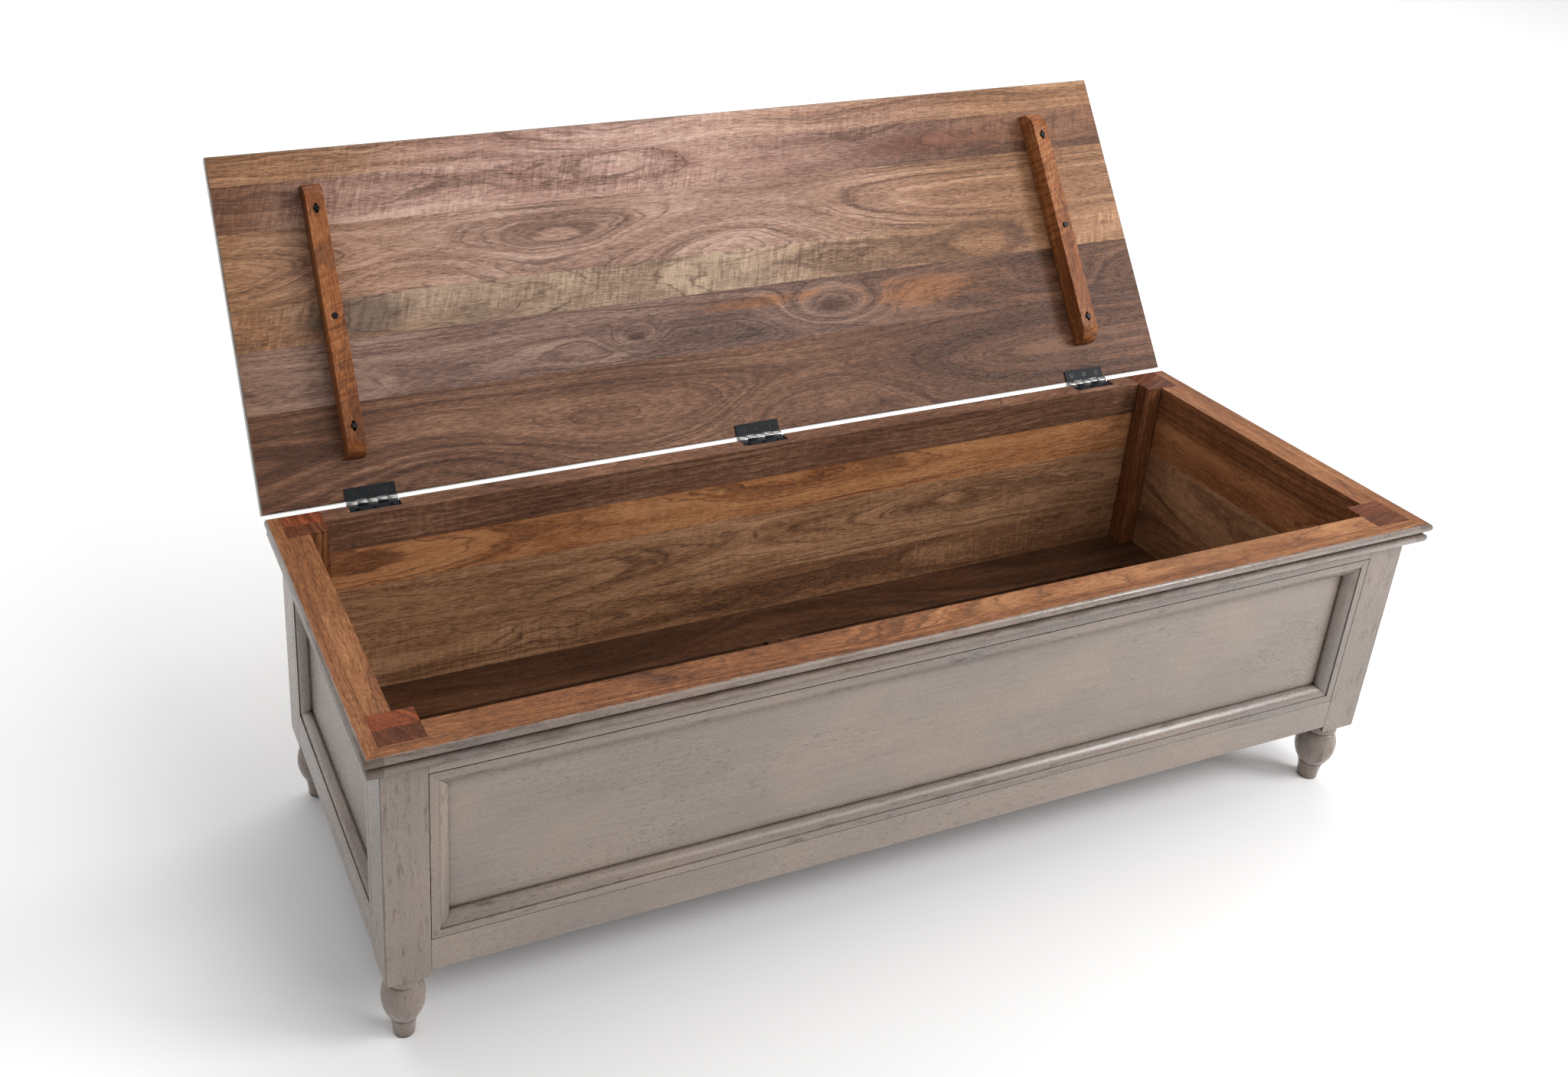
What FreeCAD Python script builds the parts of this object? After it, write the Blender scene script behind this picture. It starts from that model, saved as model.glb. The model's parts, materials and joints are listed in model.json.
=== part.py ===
import FreeCAD, Part
import math
import os

# A low wooden toy box: a frame-and-panel chest on four turned feet, with a plank lid
# on three butt hinges along the back edge.
# Millimetres. X runs along the length, Y from front to back, Z up.
# The lid stands open, at its stop. The origin is on the floor, in the middle of the length
# and of the whole depth, from the front of the cap moulding to the back of the open lid.

V = FreeCAD.Vector

# Driving dimensions of the chest
LENGTH = 1300.0            # over the cap moulding of both sides
DEPTH = 458.0              # front of the cap moulding to the back face
RIM_HEIGHT = 389.0
CAP_OVERHANG = 18.0
CAP_HEIGHT = 26.0
POST_SIZE = 48.0
POST_BOTTOM = 88.0         # the feet fill the height below the posts
RAIL_THICKNESS = 26.0
TOP_RAIL_BOTTOM = 345.0
BOTTOM_RAIL_BOTTOM = 98.0
BOTTOM_RAIL_TOP = 138.0

# Joinery of the four walls; depths are measured inward from a wall's outer face
TENON_LENGTH = 18.0
TENON_FACE = 8.0
TENON_THICKNESS = 10.0
TENON_HEIGHTS = ((104.0, 128.0), (355.0, 381.0))
GROOVE_DEPTH = 8.0
PANEL_FACE = 13.4
PANEL_THICKNESS = 11.6
TONGUE_THICKNESS = 5.6
PANEL_BOARD_SEAMS = (199.0, 290.0)
FIT_GAP = 0.4              # room left round panels, dowels and floor pieces

# Mitred moulding inside the panel openings
MOULDING_FILLET = 10.0     # flat part beside the frame
MOULDING_WIDTH = 22.6
MOULDING_GAP = 0.7         # shadow line between the moulding and the frame

# Turned feet
FOOT_DOWEL_RADIUS = 10.0
FOOT_DOWEL_LENGTH = 14.0

# Floor of the chest
FLOOR_TOP = 140.0
FLOOR_THICKNESS = 16.0
FLOOR_RAIL_WIDTH = 70.0
FLOOR_END_WIDTH = 60.0
FLOOR_CENTRE_WIDTH = 47.0
FLOOR_PANEL_THICKNESS = 8.0
FLOOR_PANEL_DROP = 4.0     # panel face below the floor rails
CLEAT_WIDTH = 20.0
CLEAT_HEIGHT = 18.0

# Lid, given in its closed place
LID_THICKNESS = 20.0
LID_DEPTH = 440.0
LID_GAP = 0.5              # between the rim and the closed lid
LID_SEAMS = (40.0, 100.0, 194.0, 246.0, 323.0)     # from the free edge
LID_TOP_ROUND = 5.0
LID_BOTTOM_ROUND = 2.0
OPEN_ANGLE = 125.0
BATTEN_X = 530.0
BATTEN_START = 49.0        # from the lid's free edge
BATTEN_LENGTH = 342.0
BATTEN_WIDTH = 23.0
BATTEN_HEIGHT = 27.0
BATTEN_END_RADIUS = 23.0
BATTEN_SCREW_SPACING = 135.0
BATTEN_SLOT_LENGTH = 13.0

# Butt hinges
HINGE_XS = {"left": -519.0, "middle": 0.0, "right": 519.0}
HINGE_LENGTH = 62.0
LEAF_WIDTH = 20.0          # from the pin's axis to the free edge
LEAF_THICKNESS = 1.8
KNUCKLE_RADIUS = 4.5
KNUCKLE_COUNT = 5
KNUCKLE_GAP = 0.3
PIN_RADIUS = 1.9
PIN_CLEARANCE = 0.06
PIN_STICKOUT = 0.8
PIN_BEHIND = 5.0           # pin axis behind the back face
PIN_BELOW_RIM = 1.8
MORTISE_DEPTH = 4.1
LEAF_SCREW_SPACING = 21.0
LEAF_SCREW_FROM_PIN = 12.5

# Screws
SCREW_SHANK_RADIUS = 1.6
SCREW_HOLE_CLEARANCE = 0.06
LEAF_SCREW_HEAD_RADIUS = 3.3
LEAF_SCREW_LENGTH = 13.0
BATTEN_SCREW_HEAD_RADIUS = 3.8
BATTEN_SCREW_HEAD_HEIGHT = 2.2
BATTEN_SCREW_LENGTH = 39.0
RECESS_WIDTH = 0.9
RECESS_DEPTH = 1.0

# Worked out from the sizes above. The open lid reaches furthest back at the rounded corner
# of its free edge, and that reach puts the origin in the middle of the whole depth.
OPEN_TURN = math.radians(OPEN_ANGLE)
CORNER_FROM_PIN = LID_DEPTH + PIN_BEHIND - LID_TOP_ROUND
CORNER_ABOVE_PIN = PIN_BELOW_RIM + LID_GAP + LID_THICKNESS - LID_TOP_ROUND
LID_REACH = (
    PIN_BEHIND + LID_TOP_ROUND
    - CORNER_FROM_PIN * math.cos(OPEN_TURN)
    + CORNER_ABOVE_PIN * math.sin(OPEN_TURN)
)
X_SIDE = LENGTH / 2 - CAP_OVERHANG
Y_BACK = (DEPTH - LID_REACH) / 2
Y_FRONT = Y_BACK - DEPTH + CAP_OVERHANG
Y_MIDDLE = (Y_FRONT + Y_BACK) / 2
LONG_SPAN = 2 * (X_SIDE - POST_SIZE)
SHORT_SPAN = Y_BACK - Y_FRONT - 2 * POST_SIZE
PIN_Y = Y_BACK + PIN_BEHIND
PIN_Z = RIM_HEIGHT - PIN_BELOW_RIM
LID_BACK = Y_BACK
LID_FRONT = LID_BACK - LID_DEPTH
LID_BOTTOM = RIM_HEIGHT + LID_GAP

# A wall is drawn facing -Y with its outer face on Y = 0, then turned and moved into place
WALLS = {
    "front": {"turn": 0.0, "centre": V(0, Y_FRONT, 0), "span": LONG_SPAN},
    "right": {"turn": 90.0, "centre": V(X_SIDE, Y_MIDDLE, 0), "span": SHORT_SPAN},
    "back": {"turn": 180.0, "centre": V(0, Y_BACK, 0), "span": LONG_SPAN},
    "left": {"turn": 270.0, "centre": V(-X_SIDE, Y_MIDDLE, 0), "span": SHORT_SPAN},
}


def export(name, solids):
    shape = solids[0] if len(solids) == 1 else Part.Compound(solids)
    shape.exportStep(os.path.join("parts", name + ".step"))


def block(x_range, y_range, z_range):
    size = (x_range[1] - x_range[0], y_range[1] - y_range[0], z_range[1] - z_range[0])
    return Part.makeBox(*size, V(x_range[0], y_range[0], z_range[0]))


def polygon_prism(points, direction):
    outline = Part.makePolygon(points + [points[0]])
    return Part.Face(outline).extrude(direction)


def place_on_wall(shape, wall):
    placed = shape.copy()
    placed.rotate(V(0, 0, 0), V(0, 0, 1), wall["turn"])
    placed.translate(wall["centre"])
    return placed


def slice_along(shape, axis, cuts):
    """Cut a shape into the pieces that lie between successive cuts along one axis."""
    box = shape.BoundBox
    low = [box.XMin - 1, box.YMin - 1, box.ZMin - 1]
    high = [box.XMax + 1, box.YMax + 1, box.ZMax + 1]
    limits = [low[axis], *cuts, high[axis]]
    pieces = []
    for start, end in zip(limits, limits[1:]):
        low[axis] = start
        high[axis] = end
        piece = shape.common(block(*zip(low, high)))
        pieces.append(piece.Solids[0])
    return pieces


# Walls: rails, panels and their mouldings

def tenons(wall):
    """The tenons of a wall's two rails, running right through the rails between the posts."""
    half = wall["span"] / 2 + TENON_LENGTH
    depth = (TENON_FACE, TENON_FACE + TENON_THICKNESS)
    return [block((-half, half), depth, heights) for heights in TENON_HEIGHTS]


def panel_groove(wall):
    half = wall["span"] / 2 + GROOVE_DEPTH
    depth = (PANEL_FACE, PANEL_FACE + TONGUE_THICKNESS)
    height = (BOTTOM_RAIL_TOP - GROOVE_DEPTH, TOP_RAIL_BOTTOM + GROOVE_DEPTH)
    return block((-half, half), depth, height)


def rail(wall, heights, tenon):
    half = wall["span"] / 2
    body = block((-half, half), (0, RAIL_THICKNESS), heights)
    body = body.cut(panel_groove(wall))
    ends = tenon.cut(block((-half, half), (0, RAIL_THICKNESS), (0, RIM_HEIGHT)))
    return place_on_wall(body.fuse(ends.Solids).removeSplitter(), wall)


def panel_boards(wall):
    half = wall["span"] / 2
    reach = GROOVE_DEPTH - FIT_GAP
    tongue_back = PANEL_FACE + TONGUE_THICKNESS
    heights = (BOTTOM_RAIL_TOP - reach, TOP_RAIL_BOTTOM + reach)
    field_heights = (BOTTOM_RAIL_TOP + FIT_GAP, TOP_RAIL_BOTTOM - FIT_GAP)
    tongue = block((-half - reach, half + reach), (PANEL_FACE, tongue_back), heights)
    field = block(
        (-half + FIT_GAP, half - FIT_GAP),
        (PANEL_FACE, PANEL_FACE + PANEL_THICKNESS),
        field_heights,
    )
    panel = tongue.fuse(field).removeSplitter()
    return [place_on_wall(board, wall) for board in slice_along(panel, 2, PANEL_BOARD_SEAMS)]


def moulding_section():
    """Flat fillet, a small step, and a convex slope down to the panel; seen along X."""
    step = 1.6
    slope_end = V(0, 10.4, MOULDING_WIDTH)
    back = PANEL_FACE - 0.2
    corner = V(0, 0, MOULDING_FILLET)
    below = V(0, step, MOULDING_FILLET)
    middle = V(0, 3.9, MOULDING_FILLET + 8.2)
    edges = [
        Part.LineSegment(V(0, 0, MOULDING_GAP), corner),
        Part.LineSegment(corner, below),
        Part.Arc(below, middle, slope_end),
        Part.LineSegment(slope_end, V(0, back, MOULDING_WIDTH)),
        Part.LineSegment(V(0, back, MOULDING_WIDTH), V(0, back, MOULDING_GAP)),
        Part.LineSegment(V(0, back, MOULDING_GAP), V(0, 0, MOULDING_GAP)),
    ]
    return Part.Face(Part.Wire([edge.toShape() for edge in edges]))


def mitred_moulding(length):
    """One strip of panel moulding along X with both ends mitred; its outer edge is on Z = 0."""
    section = moulding_section()
    section.translate(V(-length / 2, 0, 0))
    strip = section.extrude(V(length, 0, 0))
    inset = MOULDING_WIDTH + 1
    mitre_outline = [
        V(-length / 2, 0, 0),
        V(length / 2, 0, 0),
        V(length / 2 - inset, 0, inset),
        V(-length / 2 + inset, 0, inset),
    ]
    return strip.common(polygon_prism(mitre_outline, V(0, PANEL_FACE, 0))).Solids[0]


def panel_moulding(wall):
    """The four mitred strips round one panel, by side."""
    half = wall["span"] / 2
    opening = TOP_RAIL_BOTTOM - BOTTOM_RAIL_TOP
    middle = (TOP_RAIL_BOTTOM + BOTTOM_RAIL_TOP) / 2
    sides = {
        "bottom": (wall["span"], 0, V(0, 0, BOTTOM_RAIL_TOP)),
        "left": (opening, 90, V(-half, 0, middle)),
        "top": (wall["span"], 180, V(0, 0, TOP_RAIL_BOTTOM)),
        "right": (opening, 270, V(half, 0, middle)),
    }
    strips = {}
    for side, (length, turn, corner) in sides.items():
        strip = mitred_moulding(length)
        strip.rotate(V(0, 0, 0), V(0, 1, 0), turn)
        strip.translate(corner)
        strips[side] = place_on_wall(strip, wall)
    return strips


def cap_section():
    """Flat top, rounded lip, V notch and a lower bead; seen along X with the wall at Y = 0."""
    top = RIM_HEIGHT
    lip_top = V(0, -15.5, top)
    lip_middle = V(0, -CAP_OVERHANG, top - 5)
    lip_end = V(0, -15.5, top - 10)
    notch = V(0, -10.5, top - 13)
    bead_top = V(0, -15, top - 15.5)
    bead_middle = V(0, -15.6, top - 20.5)
    bead_end = V(0, -11, top - CAP_HEIGHT)
    foot = V(0, 0, top - CAP_HEIGHT)
    edges = [
        Part.LineSegment(V(0, 0, top), lip_top),
        Part.Arc(lip_top, lip_middle, lip_end),
        Part.LineSegment(lip_end, notch),
        Part.LineSegment(notch, bead_top),
        Part.Arc(bead_top, bead_middle, bead_end),
        Part.LineSegment(bead_end, foot),
        Part.LineSegment(foot, V(0, 0, top)),
    ]
    return Part.Face(Part.Wire([edge.toShape() for edge in edges]))


def cap_moulding(wall, mitre_start, mitre_end):
    """The cap along one wall; a mitred end grows outward, a plain end is square."""
    half = wall["span"] / 2 + POST_SIZE
    outer_start = -half - (CAP_OVERHANG if mitre_start else 0)
    outer_end = half + (CAP_OVERHANG if mitre_end else 0)
    section = cap_section()
    section.translate(V(outer_start, 0, 0))
    strip = section.extrude(V(outer_end - outer_start, 0, 0))
    outline = [
        V(-half, 0, 0),
        V(half, 0, 0),
        V(outer_end, -CAP_OVERHANG, 0),
        V(outer_start, -CAP_OVERHANG, 0),
    ]
    return place_on_wall(strip.common(polygon_prism(outline, V(0, 0, RIM_HEIGHT))).Solids[0], wall)


# Posts and feet

def post(x_sign, y_outer, y_sign):
    """A post glued up from two laminations; its mortises and grooves match the walls."""
    xs = sorted((x_sign * X_SIDE, x_sign * (X_SIDE - POST_SIZE)))
    ys = sorted((y_outer, y_outer - y_sign * POST_SIZE))
    body = block(xs, ys, (POST_BOTTOM, RIM_HEIGHT))
    bottom_edges = [edge for edge in body.Edges if edge.BoundBox.ZMax < POST_BOTTOM + 1]
    body = body.makeFillet(3.0, bottom_edges)
    for wall in WALLS.values():
        for hollow in [*tenons(wall), panel_groove(wall)]:
            body = body.cut(place_on_wall(hollow, wall))
    centre_x = sum(xs) / 2
    centre_y = sum(ys) / 2
    bore_depth = FOOT_DOWEL_LENGTH + FIT_GAP
    bore = Part.makeCylinder(FOOT_DOWEL_RADIUS, bore_depth, V(centre_x, centre_y, POST_BOTTOM))
    return slice_along(body.cut(bore), 1, [centre_y])


def foot(centre_x, centre_y):
    """Turned foot: tapered toe, bead, bulb and collar, with a dowel up into the post."""
    toe_edge = V(11.6, 0, 1.4)
    toe_top = V(13.4, 0, 21)
    bead_mid = V(14.4, 0, 22.4)
    bulb_low = V(13.8, 0, 23.8)
    bulb_wide = V(23.4, 0, 49)
    bulb_top = V(18.4, 0, 73)
    neck_mid = V(17.2, 0, 75)
    collar_low = V(19.6, 0, 77)
    collar_top = V(19.6, 0, POST_BOTTOM)
    dowel_radius = FOOT_DOWEL_RADIUS - FIT_GAP / 2
    dowel_low = V(dowel_radius, 0, POST_BOTTOM)
    dowel_top = V(dowel_radius, 0, POST_BOTTOM + FOOT_DOWEL_LENGTH)
    curves = [
        Part.LineSegment(V(0, 0, 0), V(10.2, 0, 0)),
        Part.Arc(V(10.2, 0, 0), V(11.19, 0, 0.41), toe_edge),
        Part.LineSegment(toe_edge, toe_top),
        Part.Arc(toe_top, bead_mid, bulb_low),
        Part.Arc(bulb_low, bulb_wide, bulb_top),
        Part.Arc(bulb_top, neck_mid, collar_low),
        Part.LineSegment(collar_low, collar_top),
        Part.LineSegment(collar_top, dowel_low),
        Part.LineSegment(dowel_low, dowel_top),
        Part.LineSegment(dowel_top, V(0, 0, dowel_top.z)),
        Part.LineSegment(V(0, 0, dowel_top.z), V(0, 0, 0)),
    ]
    outline = Part.Face(Part.Wire([curve.toShape() for curve in curves]))
    solid = outline.revolve(V(0, 0, 0), V(0, 0, 1), 360)
    solid.translate(V(centre_x, centre_y, 0))
    return solid


# Floor of the chest

def floor_pieces():
    """Framed floor: rails round two thin panels, with a cross rail in the middle."""
    x_end = X_SIDE - RAIL_THICKNESS - FIT_GAP
    y_low = Y_FRONT + RAIL_THICKNESS + FIT_GAP
    y_high = Y_BACK - RAIL_THICKNESS - FIT_GAP
    y_inner = (y_low + FLOOR_RAIL_WIDTH, y_high - FLOOR_RAIL_WIDTH)
    heights = (FLOOR_TOP - FLOOR_THICKNESS, FLOOR_TOP)
    panel_top = FLOOR_TOP - FLOOR_PANEL_DROP
    panel_heights = (panel_top - FLOOR_PANEL_THICKNESS, panel_top)
    half_centre = FLOOR_CENTRE_WIDTH / 2
    end_inner = x_end - FLOOR_END_WIDTH
    reach = GROOVE_DEPTH - FIT_GAP

    groove_ys = (y_inner[0] - GROOVE_DEPTH, y_inner[1] + GROOVE_DEPTH)
    long_groove = block((-x_end, x_end), groove_ys, panel_heights)
    post_x = X_SIDE - POST_SIZE - FIT_GAP
    corners = []
    for x_range in ((-X_SIDE, -post_x), (post_x, X_SIDE)):
        corners.append(block(x_range, (Y_FRONT, Y_FRONT + POST_SIZE + FIT_GAP), heights))
        corners.append(block(x_range, (Y_BACK - POST_SIZE - FIT_GAP, Y_BACK), heights))

    pieces = {}
    for side, y_range in (("front", (y_low, y_inner[0])), ("back", (y_inner[1], y_high))):
        long_rail = block((-x_end, x_end), y_range, heights).cut(long_groove)
        for corner in corners:
            long_rail = long_rail.cut(corner)
        pieces["floor_rail_" + side] = long_rail

    cross_ranges = {
        "left": (-x_end, -end_inner),
        "centre": (-half_centre, half_centre),
        "right": (end_inner, x_end),
    }
    tenon_ys = (y_inner[0] - reach, y_inner[1] + reach)
    panel_ranges = {"left": (-end_inner, -half_centre), "right": (half_centre, end_inner)}
    for side, x_range in cross_ranges.items():
        cross = block(x_range, y_inner, heights).fuse(block(x_range, tenon_ys, panel_heights))
        for panel_range in panel_ranges.values():
            groove_xs = (panel_range[0] - GROOVE_DEPTH, panel_range[1] + GROOVE_DEPTH)
            cross = cross.cut(block(groove_xs, groove_ys, panel_heights))
        pieces["floor_rail_" + side] = cross.removeSplitter()
    for side, x_range in panel_ranges.items():
        panel_xs = (x_range[0] - reach, x_range[1] + reach)
        pieces["floor_panel_" + side] = block(panel_xs, tenon_ys, panel_heights)

    cleat_heights = (heights[0] - CLEAT_HEIGHT, heights[0])
    for side, face, inward in (("front", y_low - FIT_GAP, 1), ("back", y_high + FIT_GAP, -1)):
        ys = sorted((face, face + inward * CLEAT_WIDTH))
        pieces["floor_cleat_" + side] = block((-post_x, post_x), ys, cleat_heights)
    return pieces


# Screws

def cross_recess(z, radius):
    """Crossed slots of a screw's driving recess, cut down from height z."""
    arm = 0.62 * radius
    half = RECESS_WIDTH / 2
    heights = (z - RECESS_DEPTH, z + RECESS_DEPTH)
    return block((-arm, arm), (-half, half), heights).fuse(block((-half, half), (-arm, arm), heights))


def countersunk_screw(clearance):
    """Flat-headed screw pointing down from its head at Z = 0; with clearance it is its hole."""
    shank = SCREW_SHANK_RADIUS + clearance
    head = LEAF_SCREW_HEAD_RADIUS + clearance
    cone = Part.makeCone(shank, head, LEAF_THICKNESS, V(0, 0, -LEAF_THICKNESS))
    length = LEAF_SCREW_LENGTH + clearance
    body = cone.fuse(Part.makeCylinder(shank, length, V(0, 0, -length)))
    if clearance == 0:
        body = body.cut(cross_recess(0, head))
    return body.removeSplitter()


def pan_head_screw():
    """Round-headed screw pointing down; the underside of its head is at Z = 0."""
    head = Part.makeCylinder(BATTEN_SCREW_HEAD_RADIUS, BATTEN_SCREW_HEAD_HEIGHT)
    top_edge = [edge for edge in head.Edges if edge.BoundBox.ZMin > BATTEN_SCREW_HEAD_HEIGHT / 2]
    head = head.makeFillet(1.2, top_edge)
    shank = Part.makeCylinder(SCREW_SHANK_RADIUS, BATTEN_SCREW_LENGTH, V(0, 0, -BATTEN_SCREW_LENGTH))
    recess = cross_recess(BATTEN_SCREW_HEAD_HEIGHT, BATTEN_SCREW_HEAD_RADIUS)
    return head.fuse(shank).cut(recess).removeSplitter()


def placed_screw(screw, position, pointing_up):
    placed = screw.copy()
    if pointing_up:
        placed.rotate(V(0, 0, 0), V(1, 0, 0), 180)
    placed.translate(position)
    return placed


# Hinges

def leaf_screw_places(hinge_x, z):
    y = PIN_Y - LEAF_SCREW_FROM_PIN
    return [V(hinge_x + step * LEAF_SCREW_SPACING, y, z) for step in (-1, 0, 1)]


def knuckle_ranges(hinge_x, first):
    """X ranges of every second knuckle, starting with the given one."""
    pitch = HINGE_LENGTH / KNUCKLE_COUNT
    start = hinge_x - HINGE_LENGTH / 2
    ranges = []
    for number in range(first, KNUCKLE_COUNT, 2):
        ranges.append((start + number * pitch, start + (number + 1) * pitch))
    return ranges


def pin_cylinder(x_range, radius):
    return Part.makeCylinder(radius, x_range[1] - x_range[0], V(x_range[0], PIN_Y, PIN_Z), V(1, 0, 0))


def hinge_leaf(hinge_x, plate_bottom, own_first, screw_holes):
    """A leaf lying flat in front of the pin, with its own knuckles and room for the other's."""
    xs = (hinge_x - HINGE_LENGTH / 2, hinge_x + HINGE_LENGTH / 2)
    leaf = block(xs, (PIN_Y - LEAF_WIDTH, PIN_Y), (plate_bottom, plate_bottom + LEAF_THICKNESS))
    for x_range in knuckle_ranges(hinge_x, 1 - own_first):
        leaf = leaf.cut(pin_cylinder(x_range, KNUCKLE_RADIUS + KNUCKLE_GAP))
    for x_range in knuckle_ranges(hinge_x, own_first):
        knuckle = (x_range[0] + KNUCKLE_GAP / 2, x_range[1] - KNUCKLE_GAP / 2)
        leaf = leaf.fuse(pin_cylinder(knuckle, KNUCKLE_RADIUS))
    leaf = leaf.cut(pin_cylinder(xs, PIN_RADIUS + PIN_CLEARANCE))
    for hole in screw_holes:
        leaf = leaf.cut(hole)
    return leaf.removeSplitter()


def hinge_mortise(hinge_x):
    half = HINGE_LENGTH / 2 + FIT_GAP
    front = PIN_Y - LEAF_WIDTH - 2 * FIT_GAP
    heights = (RIM_HEIGHT - MORTISE_DEPTH, RIM_HEIGHT + 1)
    return block((hinge_x - half, hinge_x + half), (front, Y_BACK + 1), heights)


# Lid

def lid_slab():
    xs = (-LENGTH / 2, LENGTH / 2)
    slab = block(xs, (LID_FRONT, LID_BACK), (LID_BOTTOM, LID_BOTTOM + LID_THICKNESS))
    top = LID_BOTTOM + LID_THICKNESS
    top_edges = [edge for edge in slab.Edges if edge.BoundBox.ZMin > top - 1]
    slab = slab.makeFillet(LID_TOP_ROUND, top_edges)
    bottom_edges = [edge for edge in slab.Edges if edge.BoundBox.ZMax < LID_BOTTOM + 1]
    return slab.makeFillet(LID_BOTTOM_ROUND, bottom_edges)


def batten_screw_places(x):
    middle = LID_FRONT + BATTEN_START + BATTEN_LENGTH / 2
    z = LID_BOTTOM - BATTEN_HEIGHT
    return [V(x, middle + step * BATTEN_SCREW_SPACING, z) for step in (-1, 0, 1)]


def batten(x):
    """Cross batten with rounded lower ends, a round hole and two slots for its screws."""
    ys = (LID_FRONT + BATTEN_START, LID_FRONT + BATTEN_START + BATTEN_LENGTH)
    xs = (x - BATTEN_WIDTH / 2, x + BATTEN_WIDTH / 2)
    bottom = LID_BOTTOM - BATTEN_HEIGHT
    bar = block(xs, ys, (bottom, LID_BOTTOM))
    ends = [
        edge for edge in bar.Edges
        if edge.BoundBox.ZMax < bottom + 1 and edge.BoundBox.YLength < 1
    ]
    bar = bar.makeFillet(BATTEN_END_RADIUS, ends)
    radius = SCREW_SHANK_RADIUS + FIT_GAP
    for number, place in enumerate(batten_screw_places(x)):
        slot_half = 0 if number == 1 else BATTEN_SLOT_LENGTH / 2 - radius
        for shift in (-slot_half, slot_half):
            hole = Part.makeCylinder(radius, BATTEN_HEIGHT, place + V(0, shift, 0))
            bar = bar.cut(hole)
        if slot_half > 0:
            slot_ys = (place.y - slot_half, place.y + slot_half)
            bar = bar.cut(block((x - radius, x + radius), slot_ys, (bottom, LID_BOTTOM)))
    return bar.removeSplitter()


def opened(shape):
    """Turn a piece of the closed lid to its open place."""
    turned = shape.copy()
    turned.rotate(V(0, PIN_Y, PIN_Z), V(1, 0, 0), -OPEN_ANGLE)
    return turned


# Everything, one file for each node

def build_chest(leaf_holes):
    rail_heights = {
        "bottom_rail": (BOTTOM_RAIL_BOTTOM, BOTTOM_RAIL_TOP),
        "top_rail": (TOP_RAIL_BOTTOM, RIM_HEIGHT),
    }
    for side, wall in WALLS.items():
        for (name, heights), tenon in zip(rail_heights.items(), tenons(wall)):
            piece = rail(wall, heights, tenon)
            if name == "top_rail" and side == "back":
                for hinge_x in HINGE_XS.values():
                    piece = piece.cut(hinge_mortise(hinge_x))
                for hole in leaf_holes:
                    piece = piece.cut(hole)
            export(name + "_" + side, [piece])
        export("panel_" + side, panel_boards(wall))

    for side, strip in panel_moulding(WALLS["front"]).items():
        export("panel_moulding_front_" + side, [strip])
    for side in ("left", "right"):
        export("panel_moulding_" + side, list(panel_moulding(WALLS[side]).values()))

    export("cap_moulding_front", [cap_moulding(WALLS["front"], True, True)])
    export("cap_moulding_right", [cap_moulding(WALLS["right"], True, False)])
    export("cap_moulding_left", [cap_moulding(WALLS["left"], False, True)])

    for end, x_sign in (("left", -1), ("right", 1)):
        for side, y_outer, y_sign in (("front", Y_FRONT, -1), ("back", Y_BACK, 1)):
            export("post_" + side + "_" + end, post(x_sign, y_outer, y_sign))
            centre_x = x_sign * (X_SIDE - POST_SIZE / 2)
            centre_y = y_outer - y_sign * POST_SIZE / 2
            export("foot_" + side + "_" + end, [foot(centre_x, centre_y)])

    for name, piece in floor_pieces().items():
        export(name, [piece])


def build_lid(leaf_holes, screw_holes):
    boards = slice_along(lid_slab(), 1, [LID_FRONT + seam for seam in LID_SEAMS])
    for number, board in enumerate(boards, start=1):
        for hole in [*leaf_holes, *screw_holes]:
            board = board.cut(hole)
        export("lid_board_" + str(number), [opened(board)])
    for side, x in (("left", -BATTEN_X), ("right", BATTEN_X)):
        export("lid_batten_" + side, [opened(batten(x))])


def build_hinges(lower_places, upper_places, lower_holes, upper_holes):
    lower_bottom = RIM_HEIGHT - MORTISE_DEPTH
    upper_bottom = LID_BOTTOM - LEAF_THICKNESS
    for side, x in HINGE_XS.items():
        export("hinge_leaf_lower_" + side, [hinge_leaf(x, lower_bottom, 0, lower_holes)])
        export("hinge_leaf_upper_" + side, [opened(hinge_leaf(x, upper_bottom, 1, upper_holes))])
        reach = HINGE_LENGTH / 2 + PIN_STICKOUT
        export("hinge_pin_" + side, [pin_cylinder((x - reach, x + reach), PIN_RADIUS)])
    screw = countersunk_screw(0)
    export("hinge_screws_lower", [placed_screw(screw, place, False) for place in lower_places])
    export("hinge_screws_upper", [opened(placed_screw(screw, place, True)) for place in upper_places])


def main():
    os.makedirs("parts", exist_ok=True)
    lower_face = RIM_HEIGHT - MORTISE_DEPTH + LEAF_THICKNESS
    upper_face = LID_BOTTOM - LEAF_THICKNESS
    lower_places = [place for x in HINGE_XS.values() for place in leaf_screw_places(x, lower_face)]
    upper_places = [place for x in HINGE_XS.values() for place in leaf_screw_places(x, upper_face)]
    screw_hole = countersunk_screw(SCREW_HOLE_CLEARANCE)
    lower_holes = [placed_screw(screw_hole, place, False) for place in lower_places]
    upper_holes = [placed_screw(screw_hole, place, True) for place in upper_places]

    batten_places = [place for x in (-BATTEN_X, BATTEN_X) for place in batten_screw_places(x)]
    pan_head = pan_head_screw()
    batten_screws = [placed_screw(pan_head, place, True) for place in batten_places]
    hole_radius = SCREW_SHANK_RADIUS + SCREW_HOLE_CLEARANCE
    hole_length = BATTEN_SCREW_LENGTH + SCREW_HOLE_CLEARANCE
    batten_holes = [Part.makeCylinder(hole_radius, hole_length, place) for place in batten_places]

    build_chest(lower_holes)
    build_lid(upper_holes, batten_holes)
    build_hinges(lower_places, upper_places, lower_holes, upper_holes)
    export("batten_screws", [opened(screw) for screw in batten_screws])


main()
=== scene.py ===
import bpy
import json
import math
from mathutils import Matrix, Vector


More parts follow.
